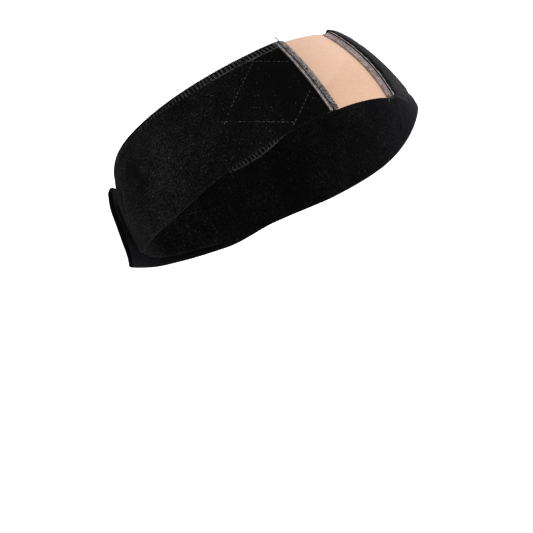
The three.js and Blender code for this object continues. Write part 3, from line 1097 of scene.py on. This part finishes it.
def painted_highlight_thread(name, seam, cut, side, rise, radius):
    """A pale thread along a folded edge: its pale colour is a painted highlight where the fold's edge catches the
    light.
    """
    length, place = seam_place(seam, **in_metres(cut))
    fine = spaced(0.1 * MM, length - 0.3 * MM, 0.4 * MM)
    sway = side + 0.04 * np.sin(fine / (1.3 * MM)) + 0.03 * np.sin(fine / (0.5 * MM))
    return sew(name, [thread_on(place, fine, sway, rise)], radius)


def groove_threads(name, seam, cut, beyond, rise):
    """The dark threads that close the seam, in the groove between the hem and the serged strip."""
    length, place = seam_place(seam, **in_metres(cut))
    fine = spaced(-0.4 * MM, length - 0.2 * MM, 0.25 * MM)
    lines = []
    for turn in (0, math.pi):
        twist = 2 * math.pi * fine / groove_twist + turn
        side = -1 - 2 * (beyond + 0.1 * MM * np.sin(twist)) / (cut["front_width"] * MM)
        lines.append(thread_on(place, fine, side, rise + 0.14 * MM * np.cos(twist)))
    return sew(name, lines, groove_thread)


for word, seam, cut, seed in (("right", right_seam, right_cut, 5), ("left", left_seam, left_cut, 6)):
    right = word == "right"
    hem = folded_hem(f"{word}_folded_hem", seam, cut["hem"])
    groove_rise = -0.2 * MM if right else -0.35 * MM
    groove = groove_threads(f"{word}_groove_threads", seam, cut["hem"], 0.2 * MM, groove_rise)
    strip = serged_strip(f"{word}_serged_strip", seam, cut["serging"])
    allowance = seam_allowance(f"{word}_seam_allowance", seam, cut["allowance"])
    sunk = 0.05 * MM if right else 0.1 * MM
    yarn = serging_threads(f"{word}_serging_threads", seam, cut["serging"], seed, sunk)
    # The pale thread along each fold is a painted highlight of the fold's edge
    if right:
        fold = painted_highlight_thread("right_hem_painted_highlight", seam, cut["hem"], 0.8, -0.15 * MM, 0.3 * MM)
    else:
        fold = painted_highlight_thread("left_serging_painted_highlight", seam, cut["serging"], 0.94, 0.1 * MM, 0.26 * MM)
    # The left hem wears the pale yarn as a painted highlight of its lit edge
    wear(hem, hem_cloth if right else highlight_yarn)
    wear(strip, dark_serging if right else pale_serging)
    wear(allowance, black_tape)
    wear(yarn, dark_serging_yarn if right else pale_serging_yarn)
    wear(fold, highlight_yarn)
    wear(groove, groove_yarn if right else black_yarn)
    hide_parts(f"{word}_seam_hem")
    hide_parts(f"{word}_seam_serging")
    for piece in (hem, strip, allowance, yarn, fold, groove):
        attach(piece, "root")


def loose_ends():
    """Threads left long where the two seams were cut off: (along, across, lift) from the seam outwards, in mm."""
    ends = [
        [(24.2, 26.4, 3.5), (24.1, 27.6, 3.9), (23.7, 29.9, 3.7), (23.0, 32.6, 3.2), (22.3, 35.2, 2.6)],
        [(-15.6, -25.4, 2.2), (-15.1, -27.0, 2.2), (-14.8, -28.4, 2.1), (-14.5, -29.2, 1.8), (-14.0, -29.9, 1.4)],
        [(-17.6, -25.6, 2.4), (-17.0, -26.9, 2.6), (-16.2, -27.6, 2.3)],
    ]
    lines = []
    for end in ends:
        points = np.array(end) * MM
        stops = np.linspace(0, len(points) - 1, 4 * len(points))
        smooth = [np.interp(stops, np.arange(len(points)), points[:, k]) for k in range(3)]
        lines.append(on_form(*smooth))
    return sew("loose_thread_ends", lines, loose_thread)


tails = loose_ends()
wear(tails, dark_serging)
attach(tails, "root")


# ---------------------------------------------------------------- the closure
def hook_and_loop():
    start = half_round - underlap_length + tape_inset
    length = half_round + overlap_length - tape_inset - start

    def place(distance, side, inset, height):
        lift = velvet_thickness + velvet_crown + sewn_gap + tape_thickness * height
        along = -(start + distance)
        return along, across_at(-along, side) - side * tape_inset - inset, lift

    stops, sides = spaced(0, length, 1.5 * MM), np.linspace(-0.9, 0.9, 19)
    return cloth_strip("hook_and_loop_tape", stops, sides, tape_edge_round, tape_edge_round, place, turns=6), length


tape, tape_length = hook_and_loop()
wear(tape, black_tape)
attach(tape, "root")
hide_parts("closure_tape")


# ---------------------------------------------------------------- stage
def stand_light(name, place, aim, size, power, colour=(1, 1, 1)):
    light = bpy.data.lights.new(name, "AREA")
    light.shape = "DISK"
    light.size = size
    light.energy = power
    light.color = colour
    stand = bpy.data.objects.new(name, light)
    bpy.context.collection.objects.link(stand)
    stand.location = place
    stand.rotation_euler = (Vector(place) - Vector(aim)).to_track_quat("Z", "Y").to_euler()


def studio():
    bpy.ops.object.select_all(action="DESELECT")
    bpy.ops.mesh.primitive_plane_add(size=30, location=(0, 0, floor_height))
    floor = bpy.context.view_layer.objects.active
    floor.name = "studio_floor"
    material, tree, shader, place = new_material("pale_paper")
    colour = blend_colours(tree, noise(tree, place["Object"], 40), (0.93, 0.93, 0.93, 1), (0.95, 0.95, 0.95, 1))
    tree.links.new(colour, shader["Base Color"])
    shader["Roughness"].default_value = 0.9
    shader["Specular IOR Level"].default_value = 0.1
    shader["Emission Color"].default_value = (1, 1, 1, 1)
    shader["Emission Strength"].default_value = 0.22
    wear(floor, material)
    world = bpy.data.worlds.new("studio_white")
    world.use_nodes = True
    background = world.node_tree.nodes["Background"]
    background.inputs["Color"].default_value = (1, 1, 1, 1)
    background.inputs["Strength"].default_value = 0.85
    bpy.context.scene.world = world
    stand_light("key_softbox", (-0.3, -1.4, 1.0), (0, 0, 0.02), 0.9, 16)
    stand_light("fill_softbox", (1.1, -0.8, 0.9), (0, 0, 0.02), 0.7, 8)
    stand_light("side_softbox", (1.3, 0.5, 0.7), (0, 0, 0.02), 0.7, 12)
    bpy.context.scene.view_settings.view_transform = "Standard"


def set_camera():
    data = bpy.data.cameras.new("photo_camera")
    data.sensor_width = 36
    data.lens = camera_lens
    data.clip_start = 0.05
    camera = bpy.data.objects.new("photo_camera", data)
    bpy.context.collection.objects.link(camera)
    back = (camera_place - camera_aim).normalized()
    level = Vector((0, 0, 1)).cross(back).normalized()
    up = back.cross(level)
    right = level * math.cos(camera_roll) + up * math.sin(camera_roll)
    up = back.cross(right)
    turn = Matrix((right, up, back)).transposed()
    camera.matrix_world = Matrix.Translation(camera_place) @ turn.to_4x4()
    bpy.context.scene.camera = camera


studio()
set_camera()
